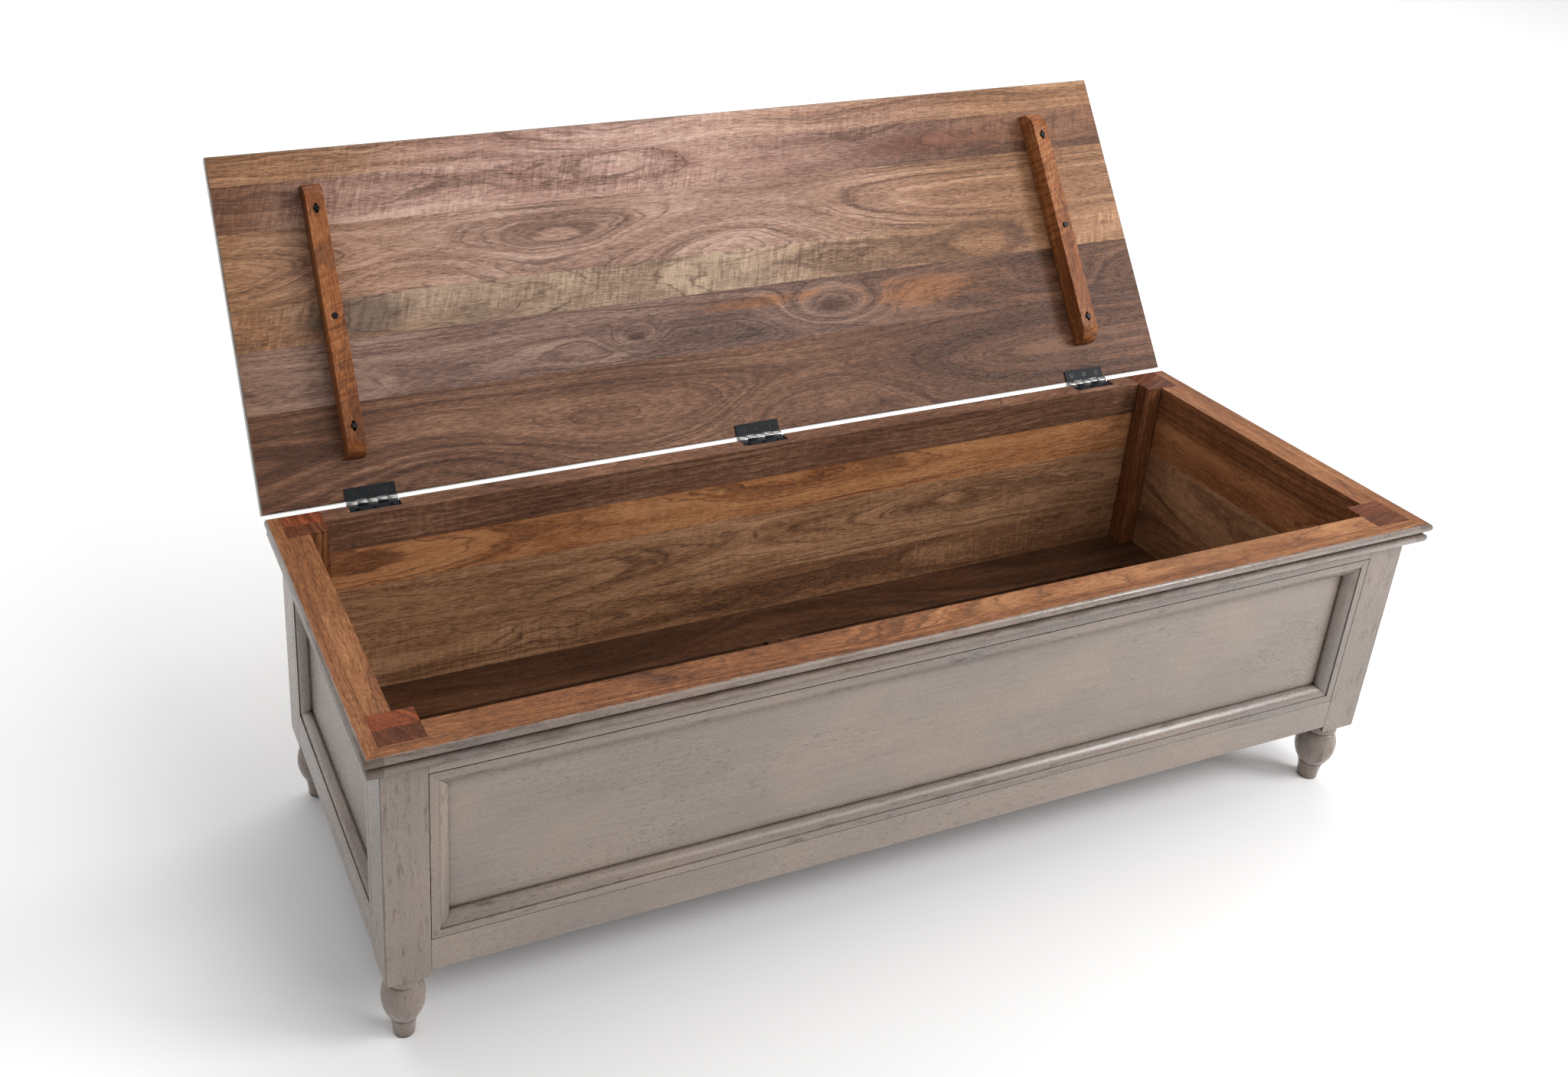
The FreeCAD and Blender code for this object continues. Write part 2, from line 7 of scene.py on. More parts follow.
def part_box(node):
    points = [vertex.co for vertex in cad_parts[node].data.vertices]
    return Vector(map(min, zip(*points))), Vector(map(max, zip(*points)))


# A painted wooden toy box with a bare-wood rim, inside and lid underside, in a white studio.
# Metres. X along the length, Y from front to back, Z up; the lid stands open at rest.

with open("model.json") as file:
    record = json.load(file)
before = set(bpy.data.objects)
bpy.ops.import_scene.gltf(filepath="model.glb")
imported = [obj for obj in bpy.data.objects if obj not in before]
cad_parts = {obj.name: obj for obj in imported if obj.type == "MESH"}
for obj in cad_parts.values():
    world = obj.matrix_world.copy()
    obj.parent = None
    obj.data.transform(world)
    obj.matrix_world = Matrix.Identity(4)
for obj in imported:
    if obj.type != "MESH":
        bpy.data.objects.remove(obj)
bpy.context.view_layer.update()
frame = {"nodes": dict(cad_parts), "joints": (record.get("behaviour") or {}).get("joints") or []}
NODES = frame["nodes"]

# Planes of the chest, from the frame
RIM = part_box("top_rail_front")[1][2]
X_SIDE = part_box("post_front_right")[1][0]
Y_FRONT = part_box("post_front_left")[0][1]
Y_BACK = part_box("post_back_left")[1][1]
POST_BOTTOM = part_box("post_front_left")[0][2]
POST_SIZE = X_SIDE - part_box("post_front_right")[0][0]
CAP_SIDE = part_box("cap_moulding_right")[1][0]
CAP_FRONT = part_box("cap_moulding_front")[0][1]
HINGE = frame["joints"][0]
PIN = Vector(HINGE["pos_m"])
OPEN_TURN = math.radians(HINGE["range_deg"][1])
LID_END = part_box("lid_board_1")[1][0]
LID_DEPTH = 0.440                 # from the hinged edge to the free edge
LID_GAP = 0.0005                  # between the rim and the closed lid
LID_UNDERSIDE = RIM + LID_GAP
LID_FREE = Y_BACK - LID_DEPTH
PANEL_SEAMS = (0.199, 0.290)      # heights of the joints between the boards of a panel

# How far below the outer faces the paint reaches
POST_PAINT_DEPTH = 0.0012
RAIL_PAINT_DEPTH = 0.010
PANEL_PAINT_DEPTH = 0.019
CAP_PAINT_DEPTH = 0.0036
LID_PAINT_DEPTH = 0.0016
LID_EDGE_PAINT_DEPTH = 0.0014
CORNER_LINE_WIDTH = 0.0013

# Distances from the middle at which the painted sheen on the lid's boards begins and finishes fading, so
# that they deepen in colour towards the ends
RIGHT_SHEEN_FADES = (0.00, 0.42)
LEFT_SHEEN_FADES = (0.42, 0.66)


# Shader building

class Shader:
    """One node material; its methods add nodes and return output sockets."""

    def __init__(self, name):
        self.material = bpy.data.materials.new(name)
        self.material.use_nodes = True
        self.tree = self.material.node_tree
        self.tree.nodes.clear()

    def add(self, kind, inputs=(), **settings):
        node = self.tree.nodes.new(kind)
        for key, value in settings.items():
            setattr(node, key, value)
        for socket, value in dict(inputs).items():
            if isinstance(value, bpy.types.NodeSocket):
                self.tree.links.new(value, node.inputs[socket])
            elif value is not None:
                node.inputs[socket].default_value = value
        return node

    def math(self, operation, a, b=None, c=None, clamp=False):
        inputs = {0: a, 1: b, 2: c}
        return self.add("ShaderNodeMath", inputs, operation=operation, use_clamp=clamp).outputs[0]

    def reach(self, a, b):
        """Length of the hypotenuse over a and b."""
        return self.math("SQRT", self.math("ADD", self.math("MULTIPLY", a, a), self.math("MULTIPLY", b, b)))

    def vector_math(self, operation, a, b):
        return self.add("ShaderNodeVectorMath", {0: a, 1: b}, operation=operation).outputs[0]

    def combine(self, x, y, z):
        return self.add("ShaderNodeCombineXYZ", {0: x, 1: y, 2: z}).outputs[0]

    def separate(self, vector):
        return self.add("ShaderNodeSeparateXYZ", {0: vector}).outputs

    def noise(self, vector, scale=(1, 1, 1), detail=2.0, roughness=0.5, distortion=0.0):
        stretched = self.vector_math("MULTIPLY", vector, scale)
        inputs = {
            "Vector": stretched, "Scale": 1.0, "Detail": detail,
            "Roughness": roughness, "Distortion": distortion,
        }
        return self.add("ShaderNodeTexNoise", inputs).outputs

    def remap(self, value, low, high, to_low=0.0, to_high=1.0, smooth=False):
        kind = "SMOOTHSTEP" if smooth else "LINEAR"
        inputs = {0: value, 1: low, 2: high, 3: to_low, 4: to_high}
        return self.add("ShaderNodeMapRange", inputs, interpolation_type=kind).outputs[0]

    def mix(self, factor, a, b, blend="MIX"):
        node = self.add("ShaderNodeMix", {0: factor, 6: a, 7: b}, data_type="RGBA", blend_type=blend)
        return node.outputs[2]

    def mix_value(self, factor, a, b):
        return self.add("ShaderNodeMix", {0: factor, 2: a, 3: b}, data_type="FLOAT").outputs[0]

    def ramp(self, value, colours):
        node = self.add("ShaderNodeValToRGB", {0: value})
        elements = node.color_ramp.elements
        while len(elements) < len(colours):
            elements.new(0.5)
        for number, (element, colour) in enumerate(zip(elements, colours)):
            element.position = number / (len(colours) - 1)
            element.color = rgba(colour)
        return node.outputs[0]

    def object_place(self):
        return self.add("ShaderNodeTexCoord").outputs["Object"]

    def finish(self, colour, roughness, height, bump_distance, metallic=0.0, gloss=0.4):
        bump = self.add("ShaderNodeBump", {"Height": height, "Distance": bump_distance})
        inputs = {
            "Base Color": colour, "Roughness": roughness, "Normal": bump.outputs[0], "Metallic": metallic,
            "Specular IOR Level": gloss,
        }
        principled = self.add("ShaderNodeBsdfPrincipled", inputs)
        self.add("ShaderNodeOutputMaterial", {0: principled.outputs[0]})
        return self.material


def rgba(colour):
    return (*colour, 1.0)


# Wood colours from dark to light, linear
WOOD_BROWN = ((0.040, 0.017, 0.010), (0.170, 0.080, 0.046), (0.380, 0.210, 0.130))
# The pink and pale palettes, used on the lid only, are lightened by painted sheen
WOOD_PINK = ((0.088, 0.042, 0.029), (0.345, 0.194, 0.148), (0.615, 0.415, 0.335))
WOOD_PALE = ((0.092, 0.047, 0.032), (0.332, 0.195, 0.142), (0.600, 0.405, 0.315))
WOOD_GREY = ((0.040, 0.023, 0.018), (0.188, 0.109, 0.084), (0.400, 0.265, 0.200))
WOOD_GOLD = ((0.066, 0.041, 0.027), (0.260, 0.170, 0.114), (0.500, 0.360, 0.250))
WOOD_ORANGE = ((0.060, 0.019, 0.007), (0.245, 0.094, 0.036), (0.430, 0.205, 0.090))
WOOD_HONEY = ((0.060, 0.024, 0.009), (0.258, 0.124, 0.060), (0.490, 0.275, 0.150))
WOOD_AMBER = ((0.080, 0.026, 0.009), (0.320, 0.124, 0.048), (0.540, 0.260, 0.115))
WOOD_RUSSET = ((0.055, 0.015, 0.005), (0.260, 0.084, 0.025), (0.450, 0.195, 0.075))
WOOD_UMBER = ((0.024, 0.010, 0.005), (0.115, 0.050, 0.027), (0.260, 0.125, 0.070))
WOOD_DARK = ((0.016, 0.007, 0.003), (0.066, 0.027, 0.012), (0.145, 0.067, 0.033))
STAIN_ORANGE = (0.290, 0.118, 0.045)
STAIN_GREY = (0.085, 0.062, 0.050)
STAIN_RED = (0.135, 0.048, 0.026)
KNOT = (0.040, 0.016, 0.010)
# Painted shade for the joints and inner corners of bare wood
BARE_JOINT_SHADE = (0.012, 0.006, 0.004)
RING = (0.055, 0.022, 0.013)
PORE = (0.036, 0.024, 0.023)

WOOD_GLOSS = 0.14
PAINT_GLOSS = 0.55
BUMP_DEPTH = 0.0003

# Paint colours, linear
PAINT_WARM = (0.285, 0.222, 0.180)
PAINT_COOL = (0.245, 0.206, 0.180)
PAINT_FLECK = (0.088, 0.076, 0.072)
RUB_DARK = (0.050, 0.034, 0.028)
RUB_BROWN = (0.125, 0.062, 0.036)
# Soft dark glaze on the outer corners, also used as painted shade in the corners and recesses; dark glaze
# and painted shade in the joints
SOFT_GLAZE_AND_SHADE = (0.095, 0.066, 0.046)
JOINT_GLAZE_AND_SHADE = (0.020, 0.015, 0.012)


class Look:
    """How one bare board looks.

    pith is the (across, through) place of the tree's heart, which the growth rings run around;
    ovals are (along, across, half length, half width, lift) swellings that close the rings;
    patches are (along, across, half length, half width, colour) stains in the wood;
    a board with end_colours shows its colours, lightened by painted sheen, in the middle of the lid and
    deepens to the end colours towards both of its ends.
    """

    def __init__(self, colours, seed, pith, tone=0.0, wander=0.03, ribbon=0.0, ovals=(), patches=(),
                 end_colours=None):
        self.colours = colours
        self.end_colours = end_colours
        self.seed = seed
        self.pith = pith
        self.tone = tone
        self.wander = wander
        self.ribbon = ribbon
        self.ovals = ovals
        self.patches = patches


class Boards:
    """Picks each board's own value from the seams that a point on a piece lies between."""

    def __init__(self, g, across, seams):
        self.g = g
        self.steps = [g.math("GREATER_THAN", across, seam) for seam in seams]

    def pick(self, values):
        chosen = values[0]
        for step, value in zip(self.steps, values[1:]):
            chosen = self.g.mix_value(step, chosen, value)
        return chosen

    def pick_colour(self, colours):
        chosen = colours[0]
        for step, colour in zip(self.steps, colours[1:]):
            chosen = self.g.mix(step, chosen, colour)
        return chosen


def mound(g, x, y, place):
    """A smooth mound over the board, 1 at its middle; place is (along, across, length, width)."""
    along, across, half_length, half_width = place
    u = g.math("DIVIDE", g.math("SUBTRACT", x, along), half_length)
    v = g.math("DIVIDE", g.math("SUBTRACT", y, across), half_width)
    square = g.math("ADD", g.math("MULTIPLY", u, u), g.math("MULTIPLY", v, v))
    return g.math("POWER", math.e, g.math("MULTIPLY", square, -1.0))


def ring_radius(g, place, seeded, drift, looks, boards):
    """Distance from the tree's heart, shifted so that rings wander and close around the ovals."""
    x, y, z = place
    wander = boards.pick([look.wander for look in looks])
    drift_y = g.math("SUBTRACT", drift[0], 0.5)
    drift_z = g.math("SUBTRACT", drift[1], 0.5)
    off_y = g.math("SUBTRACT", y, boards.pick([look.pith[0] for look in looks]))
    off_y = g.math("MULTIPLY_ADD", drift_y, g.math("MULTIPLY", wander, 2.5), off_y)
    off_z = g.math("SUBTRACT", z, boards.pick([look.pith[1] for look in looks]))
    off_z = g.math("MULTIPLY_ADD", drift_z, g.math("MULTIPLY", wander, 4.0), off_z)
    radius = g.reach(off_y, off_z)
    for along, across, half_length, half_width, lift in looks[0].ovals:
        swell = mound(g, x, y, (along, across, half_length, half_width))
        radius = g.math("MULTIPLY_ADD", swell, lift, radius)
    ripple = g.noise(seeded, (14, 45, 45), detail=3)["Fac"]
    return g.math("MULTIPLY_ADD", ripple, 0.007, radius)


def fade_painted_sheen(g, colour, x, drift, tone, end_colours):
    """Fade the painted sheen out: turn the colour to the end colours towards both ends of the lid."""
    uneven = g.math("MULTIPLY_ADD", g.math("SUBTRACT", drift, 0.5), 0.5, x)
    right_end = g.remap(uneven, RIGHT_SHEEN_FADES[0], RIGHT_SHEEN_FADES[1])
    left_end = g.remap(uneven, -LEFT_SHEEN_FADES[0], -LEFT_SHEEN_FADES[1])
    return g.mix(g.math("MAXIMUM", right_end, left_end), colour, g.ramp(tone, end_colours))


def stain_patches(g, colour, place, tone, bands, streak, patches):
    """Lay ragged stains over the colour, light and dark with the wood under them."""
    x, y, _ = place
    shade = g.ramp(tone, ((0.35,) * 3, (0.95,) * 3, (1.5,) * 3))
    for along, across, half_length, half_width, stain in patches:
        cover = mound(g, x, y, (along, across, half_length, half_width))
        ragged = g.math("MULTIPLY_ADD", g.math("SUBTRACT", bands, 0.5), 0.9, cover)
        ragged = g.math("MULTIPLY_ADD", g.math("SUBTRACT", streak, 0.5), 1.3, ragged)
        stained = g.mix(1.0, rgba(stain), shade, "MULTIPLY")
        colour = g.mix(g.remap(ragged, 0.35, 0.95, 0.0, 0.75, smooth=True), colour, stained)
    return colour


def bare_wood(g, grain, looks, boards):
    """Colour, roughness and height of bare oiled wood; grain has X along the fibres."""
    seed = boards.pick([look.seed for look in looks])
    seeded = g.vector_math("ADD", grain, g.combine(seed, g.math("MULTIPLY", seed, 0.61), 0.0))
    x, y, z = g.separate(grain)
    drift = g.separate(g.noise(seeded, (1.6, 3.0, 3.0), detail=1.5)["Color"])
    radius = ring_radius(g, (x, y, z), seeded, drift, looks, boards)

    # Growth rings follow the radius; fibres and pores run straight along the board
    flow = g.combine(g.math("ADD", x, seed), radius, 0.0)
    bands = g.noise(flow, (1.2, 150, 1), detail=3, roughness=0.6)["Fac"]
    contour = g.noise(flow, (0.7, 150, 1), detail=1.5)["Fac"]
    offset = g.math("ABSOLUTE", g.math("SUBTRACT", contour, 0.5))
    line = g.remap(offset, 0.0, 0.035, 1.0, 0.0, smooth=True)
    streak = g.noise(seeded, (5, 75, 75), detail=4, roughness=0.62)["Fac"]
    fibre = g.noise(seeded, (65, 480, 480), detail=3, roughness=0.75)["Fac"]
    pores = g.noise(seeded, (120, 820, 820), detail=2, roughness=0.6)["Fac"]
    blotch = g.noise(seeded, (4.5, 14, 14), detail=3)["Fac"]
    ribbon = boards.pick([look.ribbon for look in looks])
    slanted = g.combine(g.math("MULTIPLY_ADD", y, 0.35, g.math("ADD", x, seed)), y, z)
    shimmer = g.noise(slanted, (210, 26, 26), detail=1, distortion=0.8)["Fac"]
    patch = g.remap(blotch, 0.42, 0.56, smooth=True)
    flash = g.math("MULTIPLY", g.math("SUBTRACT", shimmer, 0.5), g.math("MULTIPLY", patch, ribbon))

    tone = g.math("ADD", flash, boards.pick([0.5 + look.tone for look in looks]))
    for value, amount in ((bands, 1.05), (streak, 0.75), (fibre, 1.25), (blotch, 0.7), (drift[2], 0.5)):
        tone = g.math("MULTIPLY_ADD", g.math("SUBTRACT", value, 0.5), amount, tone)
    colour = boards.pick_colour([g.ramp(tone, look.colours) for look in looks])
    # Painted sheen: the lid's boards are paler in the middle and deepen to their own colours towards the
    # ends
    if looks[0].end_colours:
        colour = fade_painted_sheen(g, colour, x, drift[2], tone, looks[0].end_colours)
    colour = stain_patches(g, colour, (x, y, z), tone, bands, streak, looks[0].patches)
    colour = g.mix(g.math("MULTIPLY", line, g.remap(streak, 0.35, 0.65, 0.2, 0.7)), colour, rgba(RING))
    open_pore = g.remap(pores, 0.54, 0.63)
    crowd = g.math("MULTIPLY_ADD", g.math("SUBTRACT", 0.62, bands), 1.6, 0.35, clamp=True)
    pore_mask = g.math("MULTIPLY", open_pore, crowd)
    colour = g.mix(g.math("MULTIPLY", pore_mask, 0.75), colour, rgba(PORE))

    # Painted shade: darkening in the joints and inner corners, found by occlusion
    joint = g.add("ShaderNodeAmbientOcclusion", {"Distance": 0.003}, samples=4).outputs["AO"]
    colour = g.mix(g.remap(joint, 0.75, 0.35, 0.0, 0.85), colour, rgba(BARE_JOINT_SHADE))

    roughness = g.math("MULTIPLY_ADD", fibre, 0.20, 0.32)
    height = g.math("SUBTRACT", g.math("MULTIPLY", fibre, 0.6), g.math("MULTIPLY", pore_mask, 0.8))
    return colour, roughness, height


def paint(g, grain, seed, rubbed=0.0):
    """Colour, roughness and height of grey-taupe paint with a dark glaze and painted shade in the hollows.
    """
    seeded = g.vector_math("ADD", grain, (seed * 0.71, seed * 0.37, seed * 0.53))
    cloud = g.noise(seeded, (5.0, 9.0, 9.0), detail=4)["Fac"]
    brush = g.noise(seeded, (16, 330, 330), detail=3, roughness=0.6)["Fac"]
    grit = g.noise(seeded, (240, 480, 480), detail=3, roughness=0.75)["Fac"]
    colour = g.mix(g.remap(cloud, 0.30, 0.70), rgba(PAINT_COOL), rgba(PAINT_WARM))
    shade = g.math("MULTIPLY_ADD", g.math("SUBTRACT", cloud, 0.5), 0.35, 1.0)
    shade = g.math("MULTIPLY_ADD", g.math("SUBTRACT", brush, 0.5), 0.36, shade)
    shade = g.math("MULTIPLY_ADD", g.math("SUBTRACT", grit, 0.5), 0.42, shade)
    colour = g.mix(1.0, colour, g.combine(shade, shade, shade), "MULTIPLY")

    # Flecks and short dark dashes where the glaze caught in the grain
    crowd = g.remap(g.noise(seeded, (6, 12, 12), detail=3)["Fac"], 0.46, 0.62, 0.06, 1.0, smooth=True)
    dash = g.remap(g.noise(seeded, (85, 620, 620), detail=3, roughness=0.65)["Fac"], 0.59, 0.68)
    fleck = g.remap(g.noise(seeded, (240, 240, 240), detail=2)["Fac"], 0.69, 0.74)
    marks = g.math("MAXIMUM", g.math("MULTIPLY", dash, crowd), g.math("MULTIPLY", fleck, 0.6))
    colour = g.mix(g.math("MULTIPLY", marks, 0.75), colour, rgba(PAINT_FLECK))
    if rubbed:
        scrape = g.noise(seeded, (26, 120, 120), detail=4, roughness=0.65)["Fac"]
        worn = g.remap(scrape, 0.62 - rubbed * 0.25, 0.76 - rubbed * 0.2, rubbed * 0.45, 0.75)
        colour = g.mix(worn, colour, g.mix(cloud, rgba(RUB_DARK), rgba(RUB_BROWN)))

    # Painted shade and glaze: darkening by occlusion, soft in the corners and recesses where shade falls and
    # sharp in the joints, where the dark glaze also lies
    corner = g.add("ShaderNodeAmbientOcclusion", {"Distance": 0.016}, samples=4).outputs["AO"]
    joint = g.add("ShaderNodeAmbientOcclusion", {"Distance": 0.0032}, samples=4).outputs["AO"]
    wobble = g.math("MULTIPLY", g.math("SUBTRACT", g.noise(seeded, (45, 90, 90), detail=3)["Fac"], 0.5), 0.5)
    soft = g.remap(g.math("ADD", corner, wobble), 0.80, 0.35, 0.0, 0.85, smooth=True)
    sharp = g.remap(g.math("ADD", joint, g.math("MULTIPLY", wobble, 0.4)), 0.82, 0.50, 0.0, 0.95)
    colour = g.mix(soft, colour, rgba(SOFT_GLAZE_AND_SHADE))
    colour = g.mix(sharp, colour, rgba(JOINT_GLAZE_AND_SHADE))

    roughness = g.math("MULTIPLY_ADD", grit, 0.20, 0.18)
    height = g.math("ADD", g.math("MULTIPLY", brush, 0.5), g.math("MULTIPLY", grit, 0.5))
    height = g.math("SUBTRACT", height, g.math("MULTIPLY", marks, 0.5))
    return colour, roughness, height


# Where paint ends and bare wood starts; each returns a 0 to 1 mask

def beyond(g, value, limit, softness=0.0004):
    return g.remap(value, limit - softness, limit + softness)


def ragged_edge(g, place, size):
    """A small shift that makes a painted edge uneven."""
    wobble = g.noise(place, (60, 60, 60), detail=4, roughness=0.65)["Fac"]
    return g.math("MULTIPLY", g.math("SUBTRACT", wobble, 0.5), size)


def chest_paint_mask(g, place, depth):
    """Painted on the outside, to a depth below the outer faces, and bare on the rim."""
    x, y, z = g.separate(place)
    side = beyond(g, g.math("ABSOLUTE", x), X_SIDE - depth)
    front = beyond(g, g.math("MULTIPLY", y, -1.0), -Y_FRONT - depth)
    back = beyond(g, y, Y_BACK - depth)
    below = beyond(g, g.math("MULTIPLY", z, -1.0), -POST_BOTTOM - 0.004)
    outside = g.math("MAXIMUM", g.math("MAXIMUM", side, front), g.math("MAXIMUM", back, below))
    under_rim = beyond(g, g.math("SUBTRACT", ragged_edge(g, place, 0.0012), z), -RIM + 0.0008)
    return g.math("MULTIPLY", outside, under_rim)


def post_mask(g, place):
    return chest_paint_mask(g, place, POST_PAINT_DEPTH)


def rail_mask(g, place):
    return chest_paint_mask(g, place, RAIL_PAINT_DEPTH)


def panel_mask(g, place):
    return chest_paint_mask(g, place, PANEL_PAINT_DEPTH)


def cap_paint_mask(g, place):
    """Painted below the rim and over the rounded outer edge of the cap moulding."""
    x, y, z = g.separate(place)
    shift = ragged_edge(g, place, 0.003)
    side = beyond(g, g.math("ADD", g.math("ABSOLUTE", x), shift), CAP_SIDE - CAP_PAINT_DEPTH, 0.0008)
    front = beyond(g, g.math("SUBTRACT", shift, y), -CAP_FRONT - CAP_PAINT_DEPTH, 0.0008)
    under_rim = beyond(g, g.math("MULTIPLY", z, -1.0), -RIM + 0.0012)
    return g.math("MAXIMUM", under_rim, g.math("MAXIMUM", side, front))


def lid_paint_mask(g, place):
    """Painted over the top and the edges of the lid, in closed-lid coordinates."""
    x, y, z = g.separate(place)
    shift = ragged_edge(g, place, 0.0015)
    above = beyond(g, g.math("ADD", z, shift), LID_UNDERSIDE + LID_PAINT_DEPTH)
    ends = beyond(g, g.math("ADD", g.math("ABSOLUTE", x), shift), LID_END - LID_EDGE_PAINT_DEPTH)
    free = beyond(g, g.math("SUBTRACT", shift, y), -LID_FREE - LID_EDGE_PAINT_DEPTH)
    return g.math("MAXIMUM", above, g.math("MAXIMUM", ends, free))


def corner_line(g, place):
    """Along the upright outer corners of the chest, where the glaze is dark."""
    x, y, z = g.separate(place)
    shift = ragged_edge(g, place, 0.002)
    side = beyond(g, g.math("ADD", g.math("ABSOLUTE", x), shift), X_SIDE - CORNER_LINE_WIDTH)
    front = beyond(g, g.math("MULTIPLY", y, -1.0), -Y_FRONT - CORNER_LINE_WIDTH)
    back = beyond(g, y, Y_BACK - CORNER_LINE_WIDTH)
    return g.math("MULTIPLY", side, g.math("MAXIMUM", front, back))


def swizzle(g, place, grain_axis):
    """Put the grain's axis on X."""
    x, y, z = g.separate(place)
    order = {"X": (x, y, z), "Y": (y, x, z), "Z": (z, x, y)}[grain_axis]
    return g.combine(*order)


def closed_lid_place(g):
    """Object coordinates turned with the lid to where they lie when it is closed."""
    turn = Matrix.Rotation(OPEN_TURN, 3, "X")
    shift = PIN - turn @ PIN
    inputs = {"Vector": g.object_place(), "Location": shift, "Rotation": (OPEN_TURN, 0, 0)}
    return g.add("ShaderNodeMapping", inputs, vector_type="POINT").outputs[0]


def bare_piece(name, grain_axis, look, on_lid=False):
    """A piece that is bare wood all over."""
    g = Shader(name)
    place = closed_lid_place(g) if on_lid else g.object_place()
    colour, roughness, height = bare_wood(g, swizzle(g, place, grain_axis), [look], Boards(g, None, ()))
    return g.finish(colour, roughness, height, BUMP_DEPTH, gloss=WOOD_GLOSS)


def part_painted_piece(name, grain_axis, looks, find_mask, seams=(), seam_axis=2, on_lid=False,
                       rubbed=0.0, end_tints=()):
    """Bare wood with paint where the mask says, with one look per board between the seams."""
    g = Shader(name)
    place = closed_lid_place(g) if on_lid else g.object_place()
    grain = swizzle(g, place, grain_axis)
    boards = Boards(g, g.separate(place)[seam_axis], seams)
    bare = bare_wood(g, grain, looks, boards)
    bare_colour = bare[0]
    if end_tints:
        on_top = beyond(g, g.separate(place)[2], RIM - 0.0012)
        tint = boards.pick_colour([rgba(tint) for tint in end_tints])
        bare_colour = g.mix(on_top, bare_colour, g.mix(1.0, bare_colour, tint, "MULTIPLY"))
    painted = paint(g, grain, looks[0].seed, rubbed)
    mask = find_mask(g, place)
    glazed = g.mix(g.math("MULTIPLY", corner_line(g, g.object_place()), 0.7), painted[0], rgba(SOFT_GLAZE_AND_SHADE))
    colour = g.mix(mask, bare_colour, glazed)
    roughness = g.mix_value(mask, bare[1], painted[1])
    height = g.mix_value(mask, bare[2], painted[2])
    gloss = g.mix_value(mask, WOOD_GLOSS, PAINT_GLOSS)
    return g.finish(colour, roughness, height, BUMP_DEPTH, gloss=gloss)


def painted_piece(name, grain_axis, seed, rubbed=0.0):
    """A piece that is painted all over."""
    g = Shader(name)
    colour, roughness, height = paint(g, swizzle(g, g.object_place(), grain_axis), seed, rubbed)
    return g.finish(colour, roughness, height, BUMP_DEPTH, gloss=PAINT_GLOSS)


# Metals

def black_leaf_material(name, worn_above):
    """Black hinge leaf, its knuckles worn to bright metal above a height over the pin's axis."""
    g = Shader(name)
    place = g.object_place()
    _, y, z = g.separate(place)
    off_y = g.math("SUBTRACT", y, PIN.y)
    off_z = g.math("SUBTRACT", z, PIN.z)
    reach = g.reach(off_y, off_z)
    scuff = g.noise(place, (60, 500, 500), detail=3, roughness=0.6)["Fac"]
    barrel = g.remap(reach, 0.0047, 0.0050, 1.0, 0.0)
    height = g.math("MULTIPLY_ADD", g.math("SUBTRACT", scuff, 0.5), 0.004, off_z)
    worn = g.math("MULTIPLY", barrel, beyond(g, height, worn_above, 0.0004))
    colour = g.mix(g.remap(scuff, 0.3, 0.7), rgba((0.004, 0.005, 0.006)), rgba((0.012, 0.014, 0.017)))
    colour = g.mix(worn, colour, rgba((0.26, 0.25, 0.24)))
    roughness = g.math("MULTIPLY_ADD", scuff, 0.20, g.mix_value(worn, 0.42, 0.20))
    return g.finish(colour, roughness, scuff, 0.00006, metallic=g.math("MULTIPLY", worn, 0.9), gloss=0.15)


def metal_material(name, dark, light, low_roughness):
    """Bare or blackened metal with a fine grain."""
    g = Shader(name)
    grain = g.noise(g.object_place(), (600, 600, 600), detail=3)["Fac"]
    colour = g.mix(g.remap(grain, 0.35, 0.65), rgba(dark), rgba(light))
    roughness = g.math("MULTIPLY_ADD", grain, 0.2, low_roughness)
    return g.finish(colour, roughness, grain, 0.00005, metallic=1.0)


# Finish of each node

def dress(node, material, edge=0.0):
    """Give a CAD node its material and soften its sharp edges by a small radius."""
    shown = NODES[node]
    shown.data.materials.clear()
    shown.data.materials.append(material)
    weld = shown.modifiers.new("weld", "WELD")
    weld.merge_threshold = 0.00001
    if edge:
        bevel = shown.modifiers.new("soft_edges", "BEVEL")
        bevel.width = edge
        bevel.segments = 2
        bevel.limit_method = "ANGLE"
        bevel.angle_limit = math.radians(35)
        bevel.harden_normals = True


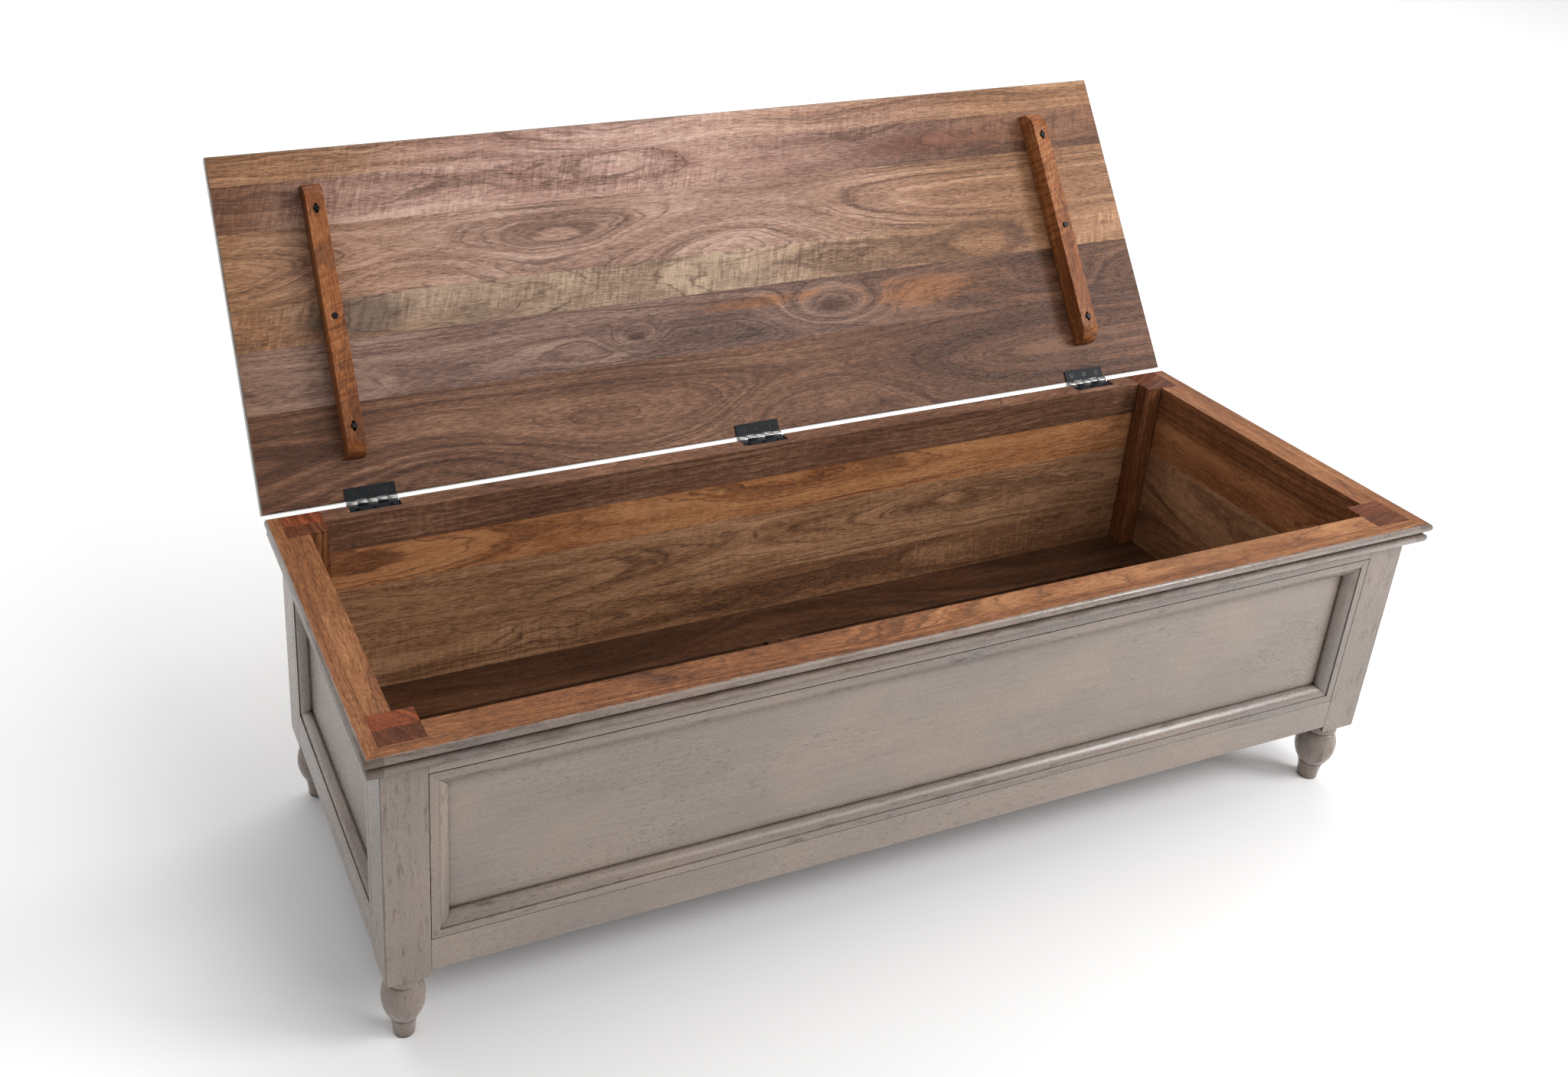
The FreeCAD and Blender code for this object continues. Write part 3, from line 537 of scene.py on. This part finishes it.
# Underside of the lid, from the free edge to the hinged edge; places in closed-lid coordinates
LID_LOOKS = (
    Look(WOOD_PINK, 1.0, (LID_FREE - 0.02, RIM - 0.05), tone=0.14, wander=0.025, ribbon=0.4,
         end_colours=WOOD_HONEY),
    Look(WOOD_PINK, 2.4, (LID_FREE + 0.07, RIM - 0.09), tone=0.16, wander=0.02, ribbon=0.8,
         patches=((0.36, LID_FREE + 0.074, 0.150, 0.026, STAIN_RED),), end_colours=WOOD_UMBER),
    Look(WOOD_PALE, 3.1, (LID_FREE + 0.15, RIM - 0.02), tone=0.11, wander=0.010,
         ovals=((-0.42, LID_FREE + 0.166, 0.150, 0.042, 0.040),
                (0.02, LID_FREE + 0.170, 0.200, 0.044, 0.050)),
         end_colours=WOOD_HONEY),
    Look(WOOD_GOLD, 4.7, (LID_FREE + 0.22, RIM - 0.12), tone=0.04, wander=0.015, ribbon=1.0,
         patches=((-0.50, LID_FREE + 0.22, 0.085, 0.030, STAIN_GREY),), end_colours=WOOD_HONEY),
    Look(WOOD_GREY, 5.2, (LID_FREE + 0.30, RIM - 0.03), tone=0.02, wander=0.022,
         ovals=((-0.14, LID_FREE + 0.290, 0.034, 0.014, 0.030),
                (0.15, LID_FREE + 0.284, 0.070, 0.024, 0.060),
                (0.52, LID_FREE + 0.285, 0.090, 0.025, 0.035)),
         patches=((-0.14, LID_FREE + 0.290, 0.016, 0.007, KNOT),
                  (0.15, LID_FREE + 0.284, 0.036, 0.014, KNOT),
                  (0.30, LID_FREE + 0.280, 0.110, 0.026, STAIN_ORANGE),
                  (0.04, LID_FREE + 0.268, 0.120, 0.010, STAIN_ORANGE)),
         end_colours=WOOD_UMBER),
    Look(WOOD_BROWN, 6.6, (LID_FREE + 0.39, RIM - 0.02), tone=-0.03, wander=0.014,
         ovals=((-0.42, LID_FREE + 0.415, 0.170, 0.044, 0.044),
                (0.12, LID_FREE + 0.405, 0.200, 0.040, 0.050)),
         end_colours=WOOD_UMBER),
)


def dress_lid():
    for number, look in enumerate(LID_LOOKS, start=1):
        name = "lid_board_" + str(number)
        dress(name, part_painted_piece(name, "X", [look], lid_paint_mask, on_lid=True))
    for side, seed in (("left", 11.3), ("right", 12.9)):
        name = "lid_batten_" + side
        middle = (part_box(name)[0][0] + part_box(name)[1][0]) / 2
        look = Look(WOOD_RUSSET, seed, (middle + 0.05, RIM - 0.30), tone=-0.05, wander=0.02, ribbon=1.1)
        dress(name, bare_piece(name, "Y", look, on_lid=True), edge=0.0012)


def wall_looks(seed, inner_face):
    """Looks for the three boards of a panel, from the bottom board to the top one."""
    low, middle, high = POST_BOTTOM + 0.08, sum(PANEL_SEAMS) / 2, RIM - 0.05
    return [
        Look(WOOD_HONEY, seed + 1.1, (inner_face * 1.3, low), tone=0.02, wander=0.03, ribbon=0.5),
        Look(WOOD_HONEY, seed + 1.9, (inner_face * 1.15, middle), tone=0.16, wander=0.03, ribbon=0.3),
        Look(WOOD_AMBER, seed + 2.6, (inner_face * 1.6, high), tone=0.16, wander=0.02, ribbon=0.3),
    ]


def dress_walls():
    inner_faces = {"front": Y_FRONT, "right": X_SIDE, "back": Y_BACK, "left": -X_SIDE}
    for number, (side, inner_face) in enumerate(inner_faces.items()):
        seed = 20.0 + number * 3.3
        grain_axis = "X" if side in ("front", "back") else "Y"
        top_colours = WOOD_BROWN if side == "back" else WOOD_ORANGE
        top_look = Look(top_colours, seed, (inner_face, RIM - 0.3), tone=0.0, wander=0.02, ribbon=0.25)
        low_look = Look(WOOD_DARK, seed + 0.7, (inner_face, RIM - 0.4))
        name = "top_rail_" + side
        dress(name, part_painted_piece(name, grain_axis, [top_look], rail_mask), edge=0.0006)
        name = "bottom_rail_" + side
        dress(name, part_painted_piece(name, grain_axis, [low_look], rail_mask), edge=0.0008)
        name = "panel_" + side
        looks = wall_looks(seed, inner_face)
        dress(name, part_painted_piece(name, grain_axis, looks, panel_mask, seams=PANEL_SEAMS, seam_axis=2))


# How dark the end grain is on top of a post, for its front and back laminations
POST_TOP_TINTS = {
    "left": ((0.55, 0.42, 0.42), (0.95, 0.60, 0.52)),
    "right": ((0.50, 0.38, 0.36), (0.60, 0.42, 0.38)),
}


def dress_posts():
    middles = {"front": Y_FRONT + POST_SIZE / 2, "back": Y_BACK - POST_SIZE / 2}
    for number, (side, end) in enumerate((s, e) for s in middles for e in ("left", "right")):
        seed = 40.0 + number * 2.7
        looks = [Look(WOOD_ORANGE, seed, (0.55, 0.2), tone=-0.10),
                 Look(WOOD_ORANGE, seed + 1.3, (0.5, 0.3), tone=-0.02)]
        name = "post_" + side + "_" + end
        material = part_painted_piece(
            name, "Z", looks, post_mask, seams=[middles[side]], seam_axis=1,
            rubbed=0.22, end_tints=POST_TOP_TINTS[end],
        )
        dress(name, material, edge=0.0010)
        name = "foot_" + side + "_" + end
        dress(name, painted_piece(name, "Z", seed + 2, rubbed=0.35), edge=0.0004)


def dress_mouldings():
    for number, side in enumerate(("front", "left", "right")):
        name = "cap_moulding_" + side
        grain_axis = "X" if side == "front" else "Y"
        seed = 60.0 + number * 1.9
        look = Look(WOOD_ORANGE, seed, (0.2, RIM - 0.3), tone=-0.06, wander=0.03, ribbon=0.3)
        dress(name, part_painted_piece(name, grain_axis, [look], cap_paint_mask, rubbed=0.5), edge=0.0004)
    grain_axes = {
        "panel_moulding_front_top": "X", "panel_moulding_front_bottom": "X",
        "panel_moulding_front_left": "Z", "panel_moulding_front_right": "Z",
        "panel_moulding_left": "Y", "panel_moulding_right": "Y",
    }
    for number, (name, grain_axis) in enumerate(grain_axes.items()):
        dress(name, painted_piece(name, grain_axis, 70.0 + number, rubbed=0.16), edge=0.0004)


def dress_floor():
    grain_axes = {
        "floor_rail_front": "X", "floor_rail_back": "X", "floor_rail_left": "Y",
        "floor_rail_right": "Y", "floor_rail_centre": "Y", "floor_panel_left": "X",
        "floor_panel_right": "X", "floor_cleat_front": "X", "floor_cleat_back": "X",
    }
    for number, (name, grain_axis) in enumerate(grain_axes.items()):
        seed = 80.0 + number * 1.7
        look = Look(WOOD_DARK, seed, (0.1, POST_BOTTOM - 0.1), wander=0.03, ribbon=0.2)
        dress(name, bare_piece(name, grain_axis, look), edge=0.0006)


def dress_metal():
    lower = black_leaf_material("hinge_black_lower", worn_above=-0.0015)
    upper = black_leaf_material("hinge_black_upper", worn_above=0.0022)
    steel = metal_material("pin_steel", (0.30, 0.29, 0.27), (0.55, 0.54, 0.52), 0.22)
    screw = metal_material("screw_black", (0.006, 0.006, 0.007), (0.026, 0.026, 0.027), 0.22)
    for side in ("left", "middle", "right"):
        dress("hinge_leaf_lower_" + side, lower, edge=0.0002)
        dress("hinge_leaf_upper_" + side, upper, edge=0.0002)
        dress("hinge_pin_" + side, steel, edge=0.0002)
    for name in ("hinge_screws_lower", "hinge_screws_upper", "batten_screws"):
        dress(name, screw)


# Studio

def floor_material():
    """Near-white and matt, with a trace of cloudiness."""
    g = Shader("studio_floor")
    cloud = g.noise(g.object_place(), (0.6, 0.6, 0.6), detail=2)["Fac"]
    colour = g.mix(cloud, rgba((0.91, 0.91, 0.91)), rgba((0.94, 0.94, 0.94)))
    return g.finish(colour, 0.9, cloud, 0.0)


def build_floor():
    """One sheet: floor, then a wide curve up into the backdrop."""
    half_width, front, back, curve, height = 9.0, -7.0, 3.5, 2.5, 6.0
    profile = [(front, 0.0), (back, 0.0)]
    steps = 16
    for step in range(1, steps + 1):
        angle = math.pi / 2 * step / steps
        profile.append((back + curve * math.sin(angle), curve * (1 - math.cos(angle))))
    profile.append((back + curve, height))
    points = [(x, y, z) for y, z in profile for x in (-half_width, half_width)]
    faces = [(n, n + 1, n + 3, n + 2) for n in range(0, len(points) - 2, 2)]
    mesh = bpy.data.meshes.new("studio_floor")
    mesh.from_pydata(points, [], faces)
    mesh.shade_smooth()
    sheet = bpy.data.objects.new("studio_floor", mesh)
    bpy.context.scene.collection.objects.link(sheet)
    mesh.materials.append(floor_material())


def softbox(name, place, target, size, power):
    light = bpy.data.lights.new(name, "AREA")
    light.shape = "RECTANGLE"
    light.size, light.size_y = size
    light.energy = power
    lamp = bpy.data.objects.new(name, light)
    lamp.location = place
    lamp.rotation_euler = (Vector(target) - Vector(place)).to_track_quat("-Z", "Y").to_euler()
    bpy.context.scene.collection.objects.link(lamp)


def build_lights():
    world = bpy.data.worlds.new("studio")
    world.use_nodes = True
    background = world.node_tree.nodes["Background"]
    background.inputs["Color"].default_value = (1.0, 1.0, 1.0, 1.0)
    background.inputs["Strength"].default_value = 0.47
    bpy.context.scene.world = world
    softbox("right_softbox", (2.7, -1.8, 2.2), (0.2, -0.2, 0.3), (1.2, 1.2), 70)
    softbox("front_softbox", (1.1, -2.6, 2.9), (0.1, 0.0, 0.3), (2.0, 1.4), 33)
    softbox("top_softbox", (0.7, 0.2, 3.2), (0.0, -0.1, 0.2), (2.4, 1.8), 27)
    softbox("backdrop_softbox", (0.8, 2.4, 4.5), (0.8, 5.5, 0.8), (9.0, 1.5), 260)


def build_camera():
    """Seen from the front left and above."""
    azimuth, elevation, roll = 0.364, 0.4217, 0.0167
    data = bpy.data.cameras.new("camera")
    data.sensor_width = 36.0
    data.lens = 35.16
    data.shift_x, data.shift_y = 0.158, -0.119
    camera = bpy.data.objects.new("camera", data)
    forward = Vector((
        math.sin(azimuth) * math.cos(elevation),
        math.cos(azimuth) * math.cos(elevation),
        -math.sin(elevation),
    ))
    right = forward.cross(Vector((0, 0, 1))).normalized()
    up = right.cross(forward)
    rolled_right = right * math.cos(roll) + up * math.sin(roll)
    rolled_up = up * math.cos(roll) - right * math.sin(roll)
    turn = Matrix((rolled_right, rolled_up, -forward)).transposed()
    place = Vector((-0.9057, Y_FRONT - 1.1111, RIM + 0.9112))
    camera.matrix_world = Matrix.Translation(place) @ turn.to_4x4()
    bpy.context.scene.collection.objects.link(camera)
    bpy.context.scene.camera = camera


dress_lid()
dress_walls()
dress_posts()
dress_mouldings()
dress_floor()
dress_metal()
build_floor()
build_lights()
build_camera()
bpy.context.scene.view_settings.view_transform = "Standard"
